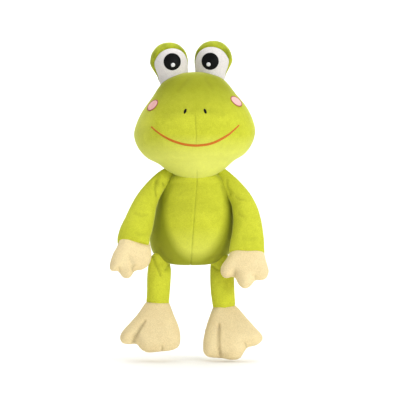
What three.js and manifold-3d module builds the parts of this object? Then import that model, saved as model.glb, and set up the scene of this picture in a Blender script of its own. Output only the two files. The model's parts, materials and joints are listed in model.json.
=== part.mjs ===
// A plush frog hand puppet, in millimetres, +Z up, face towards -Y, origin in the middle of the hand opening.
// Each limb hangs from a ball-shaped root in a matching hollow, so it turns there without cutting into the body.
// "left" and "right" are the puppet's own, so right is at -X.
import * as THREE from "three";
import { mergeVertices } from "three/addons/utils/BufferGeometryUtils.js";
import Module from "manifold-3d";

const wasm = await Module();
wasm.setup();

// ---------- Driving dimensions ----------
const PLUSH = 2; // short-pile plush, with its pile
const LINING = 1.2; // smooth lining cloth
const SEAM_GAP = 0.3; // between two pieces that are sewn together
const FILL_GAP = 0.5; // between a cover and its filling
const BAND_GAP = 0.7; // between the nested balls of a joint
const THREAD = 0.45; // radius of a run of seam thread

const BODY = {
  halfWidth: 54.5,
  foot: [-4, 0], // where the centre line starts, x and y
  front: 0.86, // half depth over half width, to the front
  back: 0.86,
  hem: 3, // height of the folded binding
};
const OPENING = { halfWidth: 35, halfDepth: 25, y: 8, binding: 3.5 };
const NECK = { pivot: [3, 0, 92], ball: 28, hole: 16.4, band: 0.8, reach: 50 };
const POCKET = { halfWidth: 37, fingers: 15.5, headDepth: 74 };

const HEAD = {
  halfWidth: 76.7,
  height: 137,
  bottom: 11, // above the neck pivot
  front: 0.84,
  back: 0.74,
  chin: -16, // how far forward the underside's middle lies
  lean: -2.3, // degrees, to the puppet's right
  turn: 2,
};
const EYE = { radius: 23.7, apart: 4, y: 8, z: 161.4, root: 34, rootShift: 7 };
const EYE_WHITE = { x: 2.3, z: -4.7, radius: 20.8 };
const PUPIL = { x: 3.7, z: -0.3, radius: 10.8, thickness: 0.9 };
const GLINT = { x: 5.6, z: -4.1, radius: 2.9, thickness: 0.5 };
const CHEEK = { around: 57.5, z: 107.8, long: 10, short: 6.2, slope: 44, thickness: 0.8, edge: 1.3 };
const NOSTRIL = { x: 12.65, z: 98.5, long: 2.9, short: 1.2, slope: 70, thickness: 0.8 };
const MOUTH = { around: 47, z: 55, rise: 25, bend: 1.9, radius: 1 };
const FACE_SEAM = { top: 92, bottom: 20 };

const ARM = { root: 8, y: 10, z: 103, halfWidth: 21.5, halfDepth: 14.5 };
// Each arm: how far its root stands off the neck's ball; its cuff's place outside the belly's side, behind
// the belly's front and above the hem; how far its middle stands outside the belly and before the straight
// line; the turn of its hand.
const ARMS = [
  { side: "right", sign: -1, beside: 1, cuff: [18.6, -3.2, 22], middle: [15.8, 7], turn: 24 },
  { side: "left", sign: 1, beside: 0, cuff: [14.8, 4.3, 12], middle: [16, 0], turn: 0 },
];
const PAW = { halfWidth: 27, halfDepth: 13.5, length: 47, finger: 9.6, spread: 23 };

const LEG = { length: 49, root: 13.5, ahead: 5.5, halfWidth: 15.4, ankle: 14.4, depthShare: 0.9 };
// Each leg: how far its hip lies inside the belly's side, how low it is sewn, and its ankle's drift sideways.
const LEGS = [
  { side: "right", sign: -1, inset: 14, z: -5, drift: -1.5 },
  { side: "left", sign: 1, inset: 14.5, z: -9.5, drift: 2.5 },
];
const FOOT = { tilt: 30, length: 74, toe: 12, halfWidth: 30, halfDepth: 12.5, outerReach: 45, outerDrop: 49 };

// ---------- Plain colours ----------
const material = (color, roughness) => new THREE.MeshStandardMaterial({ color, roughness, metalness: 0 });
const limePlush = material(0xb9c42a, 0.85);
const creamPlush = material(0xeccfa0, 0.85);
const whitePlush = material(0xe6e1dc, 0.8);
const blackStitch = material(0x14140f, 0.6);
const whiteStitch = material(0xf4f4f2, 0.6);
const pinkFelt = material(0xf0b9bf, 0.9);
const orangeStitch = material(0xd8620f, 0.6);
const plumStitch = material(0x9c4a3c, 0.6);
const greenThread = material(0x8f9a20, 0.7);
const liningCloth = material(0xa9b53a, 0.8);
const fibre = material(0xf3f3ef, 1);

// ---------- Solids and meshes ----------
function solid(geometry) {
  const bare = geometry.index ? geometry.toNonIndexed() : geometry.clone();
  bare.deleteAttribute("normal");
  bare.deleteAttribute("uv");
  const merged = mergeVertices(bare, 1e-4);
  const corners = merged.index.array;
  const kept = [];
  for (let i = 0; i < corners.length; i += 3) {
    const [a, b, c] = corners.slice(i, i + 3);
    if (a !== b && b !== c && c !== a) kept.push(a, b, c); // a pole's triangles have no area
  }
  return new wasm.Manifold(
    new wasm.Mesh({
      numProp: 3,
      vertProperties: merged.attributes.position.array,
      triVerts: new Uint32Array(kept),
    }),
  );
}

function mesh(name, shape, finish, group) {
  const { vertProperties, triVerts } = shape.getMesh();
  const geometry = new THREE.BufferGeometry()
    .setAttribute("position", new THREE.BufferAttribute(vertProperties, 3))
    .setIndex(new THREE.BufferAttribute(triVerts, 1));
  const piece = new THREE.Mesh(geometry, finish);
  piece.name = name;
  group.add(piece);
  return piece;
}

const joined = (shapes) => shapes.reduce((all, next) => all.add(next));

// Moves each vertex of a geometry to where place(x, y, z) says.
function moulded(geometry, place) {
  const at = geometry.attributes.position;
  for (let i = 0; i < at.count; i++) at.setXYZ(i, ...place(at.getX(i), at.getY(i), at.getZ(i)));
  return geometry;
}

const smooth = (value, from, to) => THREE.MathUtils.smoothstep(value, from, to);
const radians = THREE.MathUtils.degToRad;

// A box that reaches far on one side of a plane, turned about Y then X, in degrees.
function halfSpace(direction, { slant = 0, tip = 0, at = [0, 0, 0] } = {}) {
  const FAR = 400;
  const box = new THREE.BoxGeometry(FAR, FAR, FAR).translate(...direction.map((d) => (d * FAR) / 2));
  return solid(box.rotateY(radians(slant)).rotateX(radians(tip)).translate(...at));
}

function ball(radius, at = [0, 0, 0], sides = 14) {
  return solid(new THREE.SphereGeometry(radius, sides, sides / 2).rotateX(Math.PI / 2).translate(...at));
}

// Points of an outline given as [half width, height], moved inwards by inset.
function outlinePoints(outline, inset, steps) {
  const curve = new THREE.SplineCurve(outline.map(([r, z]) => new THREE.Vector2(r, z)));
  return Array.from({ length: steps + 1 }, (_, i) => {
    const p = curve.getPoint(i / steps);
    const t = curve.getTangent(i / steps);
    return new THREE.Vector2(Math.max(p.x - t.y * inset, 0), p.y + t.x * inset);
  });
}

// The half width of an outline at a height.
function halfWidthAt(outline, z) {
  const points = outlinePoints(outline, 0, 200);
  const above = points.findIndex((p) => p.y >= z);
  const [low, high] = [points[above - 1], points[above]];
  return THREE.MathUtils.mapLinear(z, low.y, high.y, low.x, high.x);
}

// A rounded body with different depths to the front and the back, along a centre line that may wander.
function pod(form, inset = 0) {
  const points = outlinePoints(form.outline, inset, form.steps);
  const [low, high] = [points[0], points[points.length - 1]];
  if (low.x > 0) points.unshift(new THREE.Vector2(0, low.y));
  if (high.x > 0) points.push(new THREE.Vector2(0, high.y));
  [points[0].x, points[points.length - 1].x] = [0, 0];
  const turned = new THREE.LatheGeometry(points, form.sides).rotateX(Math.PI / 2);
  const place = (x, y, z) => [x + form.centreX(z), y * form.depth(y, z) + form.centreY(z), z];
  return solid(moulded(turned, place));
}

// The same body set inwards, for an inner face or a filling. It is out of sight, so it is coarser.
const innerPod = (form, inset) =>
  pod({ ...form, steps: Math.ceil(form.steps * 0.6), sides: 2 * Math.ceil(form.sides * 0.3) }, inset);

// A ball-joint band: part of a ball's skin between two radii and two angles from the axis, in degrees.
function skinBand(inner, outer, from, to, sides, steps = 2) {
  const ring = [];
  for (const [radius, start, end] of [[inner, to, from], [outer, from, to]]) {
    for (let i = 0; i <= steps; i++) {
      const angle = radians(start + ((end - start) * i) / steps);
      ring.push(new THREE.Vector2(Math.max(radius * Math.sin(angle), 0), radius * Math.cos(angle)));
    }
  }
  ring.push(ring[0].clone());
  return new THREE.LatheGeometry(ring.reverse(), sides).rotateX(Math.PI / 2);
}

// A run of thread through points.
function thread(points, radius) {
  const SIDES = 5;
  const path = new THREE.CatmullRomCurve3(points);
  const section = new THREE.Shape();
  for (let i = 0; i < SIDES; i++) {
    const angle = (2 * Math.PI * i) / SIDES;
    section[i ? "lineTo" : "moveTo"](radius * Math.cos(angle), radius * Math.sin(angle));
  }
  const run = { steps: points.length, extrudePath: path, curveSegments: 1 };
  return solid(new THREE.ExtrudeGeometry(section, run));
}

// A soft tube along a curve and its root ball. share() gives its half width and half depth at 0 to 1 of the way.
function limb(curve, rings, share, root, inset, end = 1) {
  const sides = inset ? 8 : 11;
  const tube = new THREE.CylinderGeometry(1, 1, 1, sides, rings);
  const last = curve.getTangent(1);
  const mapped = moulded(tube, (x, y, z) => {
    const t = (y + 0.5) * end;
    const along = curve.getTangent(Math.min(t, 1));
    const at = curve.getPoint(Math.min(t, 1)).addScaledVector(last, Math.max(t - 1, 0) * curve.getLength());
    const side = along.clone().cross(new THREE.Vector3(0, 1, 0)).normalize();
    const deep = side.clone().cross(along);
    const [halfWidth, halfDepth] = share(Math.min(t, 1));
    at.addScaledVector(side, x * (halfWidth - inset)).addScaledVector(deep, z * (halfDepth - inset));
    return at.toArray();
  });
  return solid(mapped).add(ball(root - inset, [0, 0, 0], sides));
}

// A padded lobe: an ellipsoid leaning sideways by a number of degrees.
function lobe([x, z], [halfWidth, halfDepth, halfLength], lean, inset) {
  const round = new THREE.SphereGeometry(1, inset ? 6 : 9, inset ? 4 : 6).rotateX(Math.PI / 2);
  round.scale(halfWidth - inset, halfDepth - inset, halfLength - inset);
  return solid(round.rotateY(radians(lean)).translate(x, 0, z));
}

// ---------- Head ----------
const headTop = HEAD.bottom + HEAD.height;
const jaw = HEAD.halfWidth;
const headForm = {
  outline: [
    [0, HEAD.bottom],
    [jaw * 0.18, HEAD.bottom + 1.6],
    [jaw * 0.43, HEAD.bottom + 11],
    [jaw * 0.62, HEAD.bottom + 22.5],
    [jaw * 0.8, HEAD.bottom + 30.5],
    [jaw * 0.935, HEAD.bottom + 43],
    [jaw, HEAD.bottom + 59],
    [jaw * 0.955, HEAD.bottom + 75],
    [jaw * 0.85, HEAD.bottom + 91],
    [jaw * 0.65, HEAD.bottom + 109],
    [jaw * 0.535, headTop - 16],
    [jaw * 0.42, headTop - 7.5],
    [jaw * 0.22, headTop - 1.8],
    [0, headTop],
  ],
  steps: 15,
  sides: 20,
  centreX: () => 0,
  centreY: (z) => HEAD.chin * (1 - smooth(z, HEAD.bottom, HEAD.bottom + 45)),
  depth: (y) => (y < 0 ? HEAD.front : HEAD.back),
};

// The face's skin at a sideways place and a height.
function onFace(x, z) {
  const half = halfWidthAt(headForm.outline, z);
  return new THREE.Vector3(x, headForm.centreY(z) - HEAD.front * Math.sqrt(half * half - x * x), z);
}

function faceNormal(x, z) {
  const STEP = 0.5;
  const across = onFace(x + STEP, z).sub(onFace(x - STEP, z));
  const up = onFace(x, z + STEP).sub(onFace(x, z - STEP));
  return across.cross(up).normalize();
}

// An oval patch that follows the face, between two heights over its skin.
function facePatch(x, z, long, short, slope, low, high, hole = 0) {
  const out = faceNormal(x, z);
  const across = new THREE.Vector3(Math.cos(radians(slope)), 0, Math.sin(radians(slope)));
  across.addScaledVector(out, -across.dot(out)).normalize();
  const down = across.clone().cross(out);
  const middle = onFace(x, z);
  const place = (u, v, over) => {
    const flat = middle.clone().addScaledVector(across, u).addScaledVector(down, v);
    return onFace(flat.x, flat.z).addScaledVector(faceNormal(flat.x, flat.z), over).toArray();
  };
  const section = hole
    ? [[long - hole, low], [long, low], [long, high], [long - hole, high], [long - hole, low]]
    : [[0, low], [long * 0.6, low], [long, low], [long, high], [long * 0.6, high], [0, high]];
  const round = new THREE.LatheGeometry(section.map(([r, h]) => new THREE.Vector2(r, h)), 12);
  const narrow = (short - hole / 2) / (long - hole / 2);
  return solid(moulded(round, (u, over, v) => place(u, v * narrow, over)));
}

const head = new THREE.Group();
head.position.set(...NECK.pivot);
head.rotation.set(0, radians(HEAD.lean), radians(HEAD.turn));

const neckBands = [NECK.ball + BAND_GAP, NECK.ball + 2 * BAND_GAP + NECK.band];
const socketRadius = neckBands[1] + NECK.band + BAND_GAP;
const socket = ball(socketRadius, [0, 0, 0], 22);
const fingerForm = {
  outline: [
    [POCKET.fingers, 12],
    [POCKET.fingers, 40],
    [POCKET.fingers, POCKET.headDepth - 16],
    [POCKET.fingers * 0.8, POCKET.headDepth - 5],
    [0, POCKET.headDepth],
  ],
  steps: 5,
  sides: 10,
  centreX: () => 0,
  centreY: () => 0,
  depth: () => 1,
};
const HEAD_SEAM = 6; // how far behind the middle the head's side seam runs
const headOpen = socket.add(pod(fingerForm, -FILL_GAP));
const headSkin = pod(headForm).subtract(innerPod(headForm, PLUSH)).subtract(headOpen);
const behindSeam = halfSpace([0, 1, 0], { at: [0, HEAD_SEAM, 0] });
const beforeSeam = halfSpace([0, -1, 0], { at: [0, HEAD_SEAM + SEAM_GAP, 0] });
mesh("face_panel", headSkin.subtract(behindSeam), limePlush, head);
mesh("head_back_panel", headSkin.subtract(beforeSeam), limePlush, head);

const fingerPocket = pod(fingerForm).subtract(pod(fingerForm, LINING)).subtract(socket);
mesh("head_filling", innerPod(headForm, PLUSH + FILL_GAP).subtract(headOpen), fibre, head);
mesh("head_finger_pocket", fingerPocket, liningCloth, head);

// Everything stitched on the face lies just over its skin.
const seamAt = (from, to, count) =>
  Array.from({ length: count }, (_, i) => {
    const z = from + ((to - from) * i) / (count - 1);
    return onFace(0, z).addScaledVector(faceNormal(0, z), THREAD + 2 * SEAM_GAP);
  });
const mouthReach = HEAD.halfWidth * Math.sin(radians(MOUTH.around));
const mouthHeight = (x) => MOUTH.z + MOUTH.rise * (Math.abs(x) / mouthReach) ** MOUTH.bend;
const mouthPoints = Array.from({ length: 17 }, (_, i) => {
  const x = mouthReach * (i / 8 - 1);
  return onFace(x, mouthHeight(x)).addScaledVector(faceNormal(x, mouthHeight(x)), MOUTH.radius + SEAM_GAP);
});
mesh("mouth_stitching", thread(mouthPoints, MOUTH.radius), orangeStitch, head);
mesh("face_seam_upper", thread(seamAt(FACE_SEAM.top, MOUTH.z + 3, 8), THREAD), greenThread, head);
mesh("face_seam_chin", thread(seamAt(MOUTH.z - 3, FACE_SEAM.bottom, 8), THREAD), greenThread, head);

for (const [side, sign] of [["right", -1], ["left", 1]]) {
  const { x, z, long, short, thickness } = NOSTRIL;
  const slope = 90 + sign * (90 - NOSTRIL.slope);
  mesh(`nostril_${side}`, facePatch(sign * x, z, long, short, slope, SEAM_GAP, thickness), blackStitch, head);

  const cheekX = sign * halfWidthAt(headForm.outline, CHEEK.z) * Math.sin(radians(CHEEK.around));
  const cheekAt = [cheekX, CHEEK.z];
  const lean = -sign * CHEEK.slope;
  const patch = facePatch(...cheekAt, CHEEK.long, CHEEK.short, lean, SEAM_GAP, CHEEK.thickness);
  mesh(`cheek_patch_${side}`, patch, pinkFelt, head);
  const edging = facePatch(
    ...cheekAt,
    CHEEK.long + SEAM_GAP + CHEEK.edge,
    CHEEK.short + SEAM_GAP + CHEEK.edge,
    lean,
    SEAM_GAP,
    CHEEK.thickness + 0.2,
    CHEEK.edge,
  );
  mesh(`cheek_edging_${side}`, edging, plumStitch, head);

  // Eye: a green ball with a narrower root sewn to the head, and a white front panel.
  const eye = new THREE.Group();
  const eyeX = sign * (EYE.radius + EYE.apart);
  eye.position.set(eyeX, EYE.y, EYE.z);
  head.add(eye);
  const r = EYE.radius;
  const eyeForm = {
    outline: [
      [0, -EYE.root],
      [r * 0.55, -EYE.root + 1],
      [r * 0.7, -r * 1.1],
      [r * 0.75, -r * 0.8],
      [r * 0.86, -r * 0.5],
      [r * 0.97, -r * 0.22],
      [r, 0.02 * r],
      [r * 0.9, r * 0.44],
      [r * 0.62, r * 0.79],
      [0, r],
    ],
    steps: 10,
    sides: 12,
    centreX: (z) => -sign * EYE.rootShift * (1 - smooth(z, -26, 0)),
    centreY: () => 0,
    depth: () => 1,
  };
  const headBelow = pod(headForm, -SEAM_GAP).translate([-eyeX, -EYE.y, -EYE.z]);
  const eyeSkin = pod(eyeForm).subtract(innerPod(eyeForm, PLUSH)).subtract(headBelow);
  const facing = new THREE.Vector3(-sign * EYE_WHITE.x, 0, EYE_WHITE.z);
  facing.y = -Math.sqrt(r * r - EYE_WHITE.radius ** 2 - facing.lengthSq());
  const yaw = THREE.MathUtils.radToDeg(Math.atan2(facing.x, -facing.y));
  const dip = THREE.MathUtils.radToDeg(Math.asin(-facing.z / facing.length()));
  const frontOf = (shift) => {
    const FAR = 400;
    const box = new THREE.BoxGeometry(FAR, FAR, FAR).translate(0, -FAR / 2 - facing.length() + shift, 0);
    return solid(box.rotateX(radians(dip)).rotateZ(radians(yaw)));
  };
  mesh(`eye_white_${side}`, eyeSkin.intersect(frontOf(0)), whitePlush, eye);
  mesh(`eye_back_${side}`, eyeSkin.subtract(frontOf(SEAM_GAP)), limePlush, eye);
  mesh(`eye_filling_${side}`, innerPod(eyeForm, PLUSH + FILL_GAP).subtract(headBelow), fibre, eye);

  // Pupil and its light dot are stitched discs that follow the ball.
  const disc = ({ x, z, radius, thickness }, low) => {
    const spread = THREE.MathUtils.radToDeg(Math.asin(radius / r));
    const cap = skinBand(r + low, r + low + thickness, 0, spread, 12, radius > 5 ? 2 : 1);
    const aim = new THREE.Vector3(-sign * x, -Math.sqrt(r * r - x * x - z * z), z).normalize();
    cap.applyQuaternion(new THREE.Quaternion().setFromUnitVectors(new THREE.Vector3(0, 0, 1), aim));
    return solid(cap);
  };
  mesh(`pupil_${side}`, disc(PUPIL, 2 * SEAM_GAP), blackStitch, eye);
  mesh(`pupil_glint_${side}`, disc(GLINT, PUPIL.thickness + 3 * SEAM_GAP), whiteStitch, eye);
}

// ---------- Neck: two bands of one ball joint ----------
const neck = new THREE.Group();
neck.position.set(...NECK.pivot);
const holeAngle = THREE.MathUtils.radToDeg(Math.asin(NECK.hole / NECK.ball));
const neckBand = (inner, from, to) => solid(skinBand(inner, inner + NECK.band, from, to, 22, 1));
mesh("neck_lining", neckBand(neckBands[0], holeAngle, NECK.reach), liningCloth, neck);
mesh("neck_stitching", neckBand(neckBands[1], holeAngle + 2, NECK.reach - 3), greenThread, neck);

// ---------- Torso ----------
const [neckX, , neckZ] = NECK.pivot;
const onBall = (z) => Math.sqrt(NECK.ball ** 2 - (z - neckZ) ** 2);
const belly = BODY.halfWidth;
const shoulderWidth = (share) => THREE.MathUtils.lerp(NECK.ball, belly, share);
const floor = BODY.hem + SEAM_GAP;
const leanSlope = (neckX - BODY.foot[0]) / neckZ;
const centreX = (z) => BODY.foot[0] + leanSlope * z;
const round = (share, z) => THREE.MathUtils.lerp(share, 1, smooth(z, 72, 98));
const neckTop = neckZ + Math.sqrt(NECK.ball ** 2 - NECK.hole ** 2);
const torsoForm = {
  outline: [
    [belly * 0.79, floor],
    [belly * 0.91, floor + 3],
    [belly * 0.98, floor + 10],
    [belly, floor + 22],
    [belly * 0.975, floor + 39],
    [belly * 0.895, floor + 57],
    [shoulderWidth(0.57), neckZ - 16],
    [shoulderWidth(0.38), neckZ - 7],
    [shoulderWidth(0.2), neckZ + 2],
    [onBall(neckZ + 9), neckZ + 9],
    [onBall(neckZ + 15), neckZ + 15],
    [onBall(neckZ + 19), neckZ + 19],
    [NECK.hole, neckTop],
  ],
  steps: 13,
  sides: 20,
  centreX: (z) => (z > neckZ ? neckX : centreX(z)),
  centreY: () => 0,
  depth: (y, z) => round(y < 0 ? BODY.front : BODY.back, z),
};
const pocketForm = {
  outline: [
    [OPENING.halfWidth, -12],
    [OPENING.halfWidth, 0],
    [POCKET.halfWidth, 20],
    [POCKET.halfWidth, 42],
    [POCKET.halfWidth * 0.9, 62],
    [POCKET.halfWidth * 0.68, 82],
    [POCKET.halfWidth * 0.46, 98],
    [POCKET.fingers, 108],
    [POCKET.fingers, 124],
  ],
  steps: 10,
  sides: 14,
  centreX: (z) => (z > neckZ ? neckX : centreX(z)),
  centreY: (z) => OPENING.y * (1 - smooth(z, 20, 95)),
  depth: (y, z) => THREE.MathUtils.lerp(OPENING.halfDepth / OPENING.halfWidth, 1, smooth(z, 50, 100)),
};

const above = (z) => halfSpace([0, 0, 1], { at: [0, 0, z] });
const below = (z) => halfSpace([0, 0, -1], { at: [0, 0, z] });

const torso = new THREE.Group();
const shoulderAt = ({ sign, beside }) => [neckX + sign * (NECK.ball + ARM.root + beside), ARM.y, ARM.z];
const hipAt = ({ sign, inset, z }) => {
  const beforeOpening = OPENING.y - OPENING.halfDepth - LEG.ahead;
  return [BODY.foot[0] + sign * (belly - inset), beforeOpening, z];
};
const limbHollows = joined([
  ...ARMS.map((arm) => ball(ARM.root + NECK.band + 2 * BAND_GAP, shoulderAt(arm), 14)),
  ...LEGS.map((leg) => ball(LEG.root + NECK.band + 2 * BAND_GAP, hipAt(leg), 16)),
]);
const seamSlant = THREE.MathUtils.radToDeg(Math.atan(leanSlope));
const seamLine = { slant: seamSlant, at: [BODY.foot[0], 0, 0] };
const torsoSkin = pod(torsoForm)
  .subtract(innerPod(torsoForm, PLUSH))
  .subtract(pod(pocketForm, -SEAM_GAP))
  .subtract(limbHollows)
  .subtract(above(neckTop - 0.5));
const frontSkin = torsoSkin.subtract(halfSpace([0, 1, 0]));
const leftOf = halfSpace([1, 0, 0], { ...seamLine, at: [BODY.foot[0] + SEAM_GAP / 2, 0, 0] });
const rightOf = halfSpace([-1, 0, 0], { ...seamLine, at: [BODY.foot[0] - SEAM_GAP / 2, 0, 0] });
mesh("torso_front_left", frontSkin.intersect(leftOf), limePlush, torso);
mesh("torso_front_right", frontSkin.intersect(rightOf), limePlush, torso);
const backSkin = torsoSkin.subtract(halfSpace([0, -1, 0], { at: [0, SEAM_GAP, 0] }));
mesh("torso_back_panel", backSkin, limePlush, torso);
const torsoFilling = innerPod(torsoForm, PLUSH + FILL_GAP)
  .subtract(pod(pocketForm, -FILL_GAP))
  .subtract(limbHollows)
  .subtract(above(neckTop - 3));
mesh("torso_filling", torsoFilling, fibre, torso);
const lining = pod(pocketForm).subtract(pod(pocketForm, LINING)).subtract(below(floor));
mesh("hand_pocket_lining", lining.subtract(above(neckTop - 1)), liningCloth, torso);

const hemRing = (halfWidth, halfDepth) =>
  new THREE.CylinderGeometry(1, 1, BODY.hem, 20).rotateX(Math.PI / 2).scale(halfWidth, halfDepth, 1);
const hemOuter = solid(hemRing(OPENING.halfWidth + OPENING.binding, OPENING.halfDepth + OPENING.binding));
const hemInner = solid(hemRing(OPENING.halfWidth - LINING, OPENING.halfDepth - LINING).scale(1, 1, 3));
mesh("opening_hem", hemOuter.subtract(hemInner), greenThread, torso).position.set(
  BODY.foot[0],
  OPENING.y,
  BODY.hem / 2,
);

const bellySeam = Array.from({ length: 12 }, (_, i) => {
  const z = THREE.MathUtils.lerp(floor + 6, neckZ - 4, i / 11);
  const deep = halfWidthAt(torsoForm.outline, z) * torsoForm.depth(-1, z);
  return new THREE.Vector3(centreX(z), -deep - THREAD - 4 * SEAM_GAP, z);
});
mesh("belly_seam_thread", thread(bellySeam, THREAD), greenThread, torso);

// ---------- Arms ----------
const puppet = new THREE.Group();
puppet.add(head, neck, torso);

// The tube starts a little inside its root ball, so the ball closes it.
const armShare = (t) => {
  const start = ARM.root - 1.5;
  const wide = THREE.MathUtils.lerp(start, ARM.halfWidth, smooth(t, -0.15, 0.95));
  const deep = THREE.MathUtils.lerp(start, ARM.halfDepth, smooth(t, -0.15, 0.8));
  return [wide, deep];
};

for (const form of ARMS) {
  const { side, sign, turn } = form;
  const arm = new THREE.Group();
  arm.position.set(...shoulderAt(form));
  puppet.add(arm);
  const [beyond, behind, height] = form.cuff;
  const cuffAt = [BODY.foot[0] + sign * (belly + beyond), behind - belly * BODY.front, height];
  const cuff = new THREE.Vector3(...cuffAt).sub(arm.position);
  const [outside, before] = form.middle;
  const middleZ = (ARM.z + height) / 2;
  const middleX = centreX(middleZ) + sign * (halfWidthAt(torsoForm.outline, middleZ) + outside);
  const middle = new THREE.Vector3(middleX - arm.position.x, cuff.y * 0.45 - before, middleZ - ARM.z);
  const elbow = middle.multiplyScalar(2).addScaledVector(cuff, -0.5); // the curve passes through the middle
  const curve = new THREE.QuadraticBezierCurve3(new THREE.Vector3(), elbow, cuff);
  const towardsBody = new THREE.Quaternion().setFromUnitVectors(
    new THREE.Vector3(0, 0, 1),
    new THREE.Vector3(-sign, -0.1, 0.45).normalize(),
  );
  const stitchedBand = skinBand(ARM.root + BAND_GAP, ARM.root + BAND_GAP + NECK.band, 30, 52, 14, 1);
  mesh(`shoulder_stitching_${side}`, solid(stitchedBand.applyQuaternion(towardsBody)), greenThread, arm);

  // Hand: a padded palm with three blunt fingers, set on the cuff in line with the arm's end.
  const paw = new THREE.Group();
  paw.position.copy(cuff);
  const down = curve.getTangent(1);
  const across = down.clone().cross(new THREE.Vector3(0, 1, 0)).normalize();
  const up = down.clone().negate();
  const lineUp = new THREE.Matrix4().makeBasis(across, up.clone().cross(across), up);
  paw.setRotationFromMatrix(lineUp);
  const FAR = 400;
  const beyondCuff = new THREE.BoxGeometry(FAR, FAR, FAR).translate(0, 0, -FAR / 2).applyMatrix4(lineUp);
  const pastCuff = solid(beyondCuff.translate(...cuff));
  const armShape = (inset) => limb(curve, 6, armShare, ARM.root, inset, 1.05);
  mesh(`arm_cover_${side}`, armShape(0).subtract(armShape(PLUSH)).subtract(pastCuff), limePlush, arm);
  mesh(`arm_filling_${side}`, armShape(PLUSH + 2 * FILL_GAP).subtract(pastCuff), fibre, arm);
  paw.rotateZ(radians(-sign * turn));
  arm.add(paw);
  const { finger, halfDepth, halfWidth, length, spread } = PAW;
  const pawShape = (inset) =>
    joined([
      lobe([0, -length * 0.26], [halfWidth, halfDepth, length * 0.5], 0, inset),
      lobe([-spread, -length * 0.46], [finger, halfDepth * 0.75, finger * 1.3], 28, inset),
      lobe([spread, -length * 0.46], [finger, halfDepth * 0.75, finger * 1.3], -28, inset),
      lobe([0, -length * 0.68], [finger * 1.1, halfDepth * 0.8, length * 0.32], 0, inset),
    ]);
  const wrist = halfSpace([0, 0, -1], { at: [0, 0, -SEAM_GAP] });
  mesh(`hand_cover_${side}`, pawShape(0).subtract(pawShape(PLUSH)).intersect(wrist), creamPlush, paw);
  mesh(`hand_filling_${side}`, pawShape(PLUSH + FILL_GAP).intersect(wrist), fibre, paw);
}

// ---------- Legs ----------
const legShare = (t) => {
  const wide = THREE.MathUtils.lerp(LEG.halfWidth, LEG.ankle, smooth(t, 0.3, 1));
  return [Math.min(wide, LEG.root + t * LEG.length * 0.2), wide * LEG.depthShare];
};

for (const form of LEGS) {
  const { side, sign, drift } = form;
  const leg = new THREE.Group();
  leg.position.set(...hipAt(form));
  puppet.add(leg);
  const ankle = new THREE.Vector3(drift, 0, -LEG.length);
  const shin = new THREE.LineCurve3(new THREE.Vector3(), ankle);
  const overAnkle = halfSpace([0, 0, 1], { at: ankle.toArray() });
  const legShape = (inset) => limb(shin, 3, legShare, LEG.root, inset, 1.1);
  mesh(`leg_cover_${side}`, legShape(0).subtract(legShape(PLUSH)).intersect(overAnkle), limePlush, leg);
  mesh(`leg_filling_${side}`, legShape(PLUSH + FILL_GAP).intersect(overAnkle), fibre, leg);
  const hipBand = skinBand(LEG.root + BAND_GAP, LEG.root + BAND_GAP + NECK.band, 32, 52, 16, 1);
  mesh(`hip_stitching_${side}`, solid(hipBand), greenThread, leg);

  // Foot: instep and three toes, the outer one splayed, tipped forward from the shin.
  const foot = new THREE.Group();
  foot.position.copy(ankle);
  leg.add(foot);
  const { halfDepth: thick, halfWidth: broad, length: long, toe } = FOOT;
  const outerLean = THREE.MathUtils.radToDeg(Math.atan2(FOOT.outerReach, FOOT.outerDrop));
  const footShape = (inset) =>
    joined([
      lobe([sign * 2, -long * 0.26], [LEG.ankle * 1.32, thick * 1.05, long * 0.4], -sign * 4, inset),
      lobe([sign * 6, -long * 0.48], [broad, thick, long * 0.3], 0, inset),
      lobe([sign * 31, -long * 0.5], [toe * 0.9, thick * 0.8, long * 0.29], -sign * outerLean, inset),
      lobe([sign * 10, -long * 0.66], [toe * 1.05, thick * 0.9, long * 0.32], -sign * 10, inset),
      lobe([-sign * 15, -long * 0.65], [toe, thick * 0.9, long * 0.3], sign * 8, inset),
    ]).rotate([-FOOT.tilt, 0, 0]);
  const underAnkle = halfSpace([0, 0, -1], { at: [0, 0, -SEAM_GAP] });
  const footSkin = footShape(0).subtract(footShape(PLUSH)).intersect(underAnkle);
  const upperSide = (shift) => halfSpace([0, -1, 0], { tip: -FOOT.tilt, at: [0, shift, 0] });
  mesh(`foot_upper_${side}`, footSkin.intersect(upperSide(0)), creamPlush, foot);
  mesh(`foot_sole_${side}`, footSkin.subtract(upperSide(SEAM_GAP * 1.2)), creamPlush, foot);
  mesh(`foot_filling_${side}`, footShape(PLUSH + FILL_GAP).intersect(underAnkle), fibre, foot);
}

export default puppet;
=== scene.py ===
import json
import math

import bmesh
import bpy
from mathutils import Matrix, Vector
from mathutils.bvhtree import BVHTree

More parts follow.
